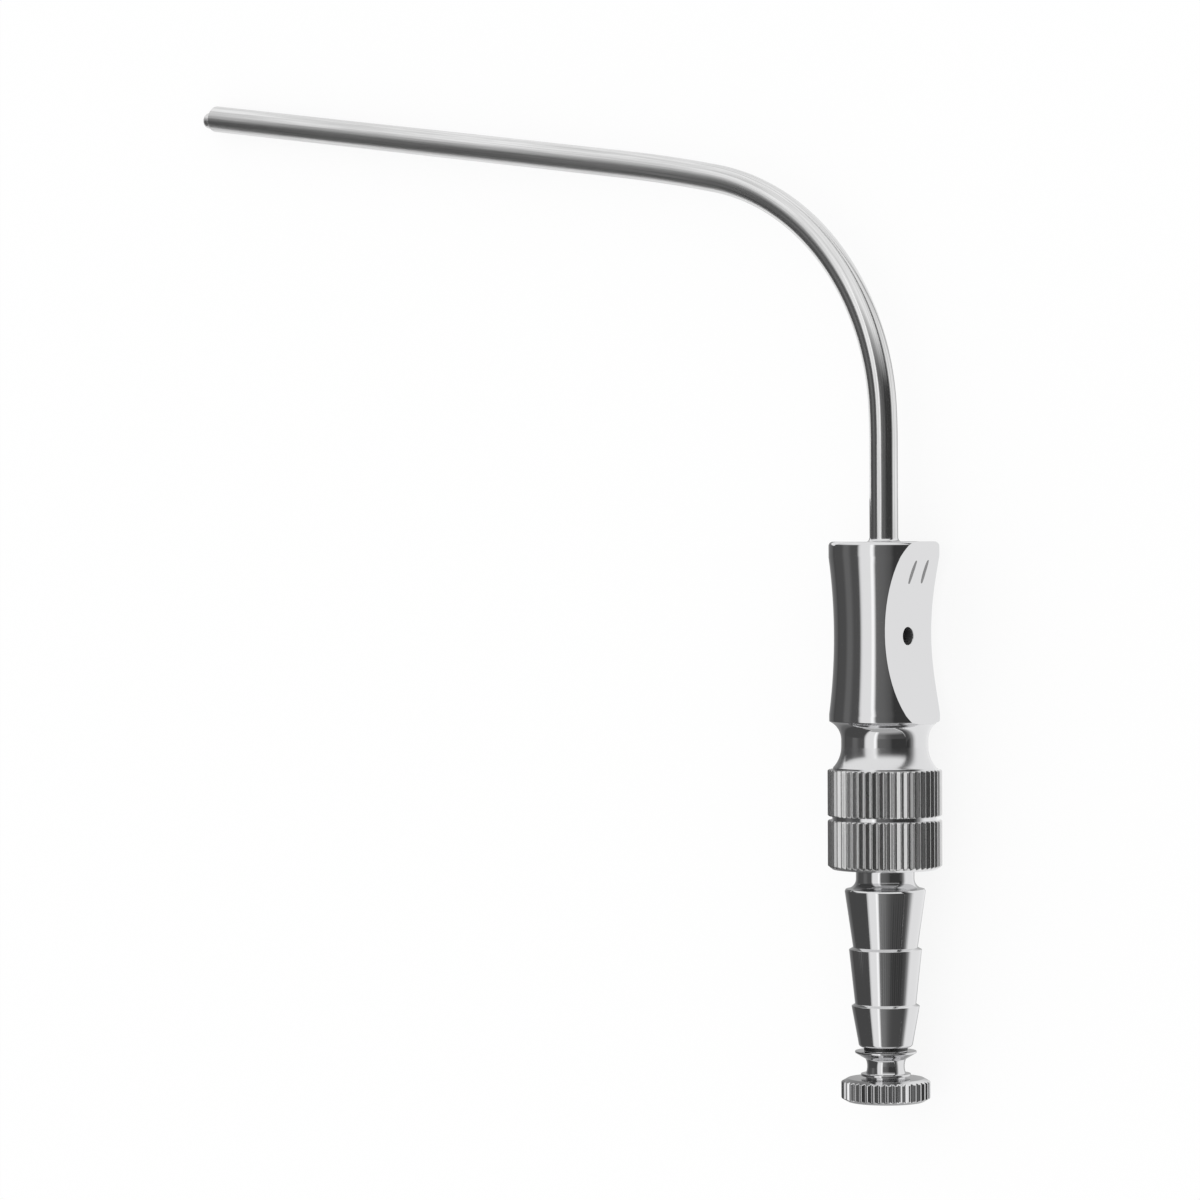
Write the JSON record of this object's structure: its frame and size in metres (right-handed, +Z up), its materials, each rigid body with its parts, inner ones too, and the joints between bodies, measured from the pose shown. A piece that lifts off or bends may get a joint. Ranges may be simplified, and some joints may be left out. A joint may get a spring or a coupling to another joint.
{
  "type": "surgical suction tube",
  "caption": "Angled metal suction tube with a thumb-vented grip, knurled collars, a barbed hose connector and its cleaning stylet.",
  "frame": {"origin": "centre of the bottom of the bounding box, on the surface that the instrument lies on", "axes": "+Y along the grip's axis from the knob towards the cannula, +X towards the thumb rest's side, away from the arm, +Z up"},
  "size_m": [0.1252, 0.135, 0.0147],
  "materials": {
    "turned_steel": "turned and mirror-polished stainless steel",
    "tube_steel": "drawn and polished stainless steel"
  },
  "bodies": {
    "root": {"cannula": "tube_steel", "grip": "turned_steel", "hose_connector": "turned_steel", "stylet_wire": "tube_steel", "stylet_knob": "turned_steel"}
  },
  "joints": []
}
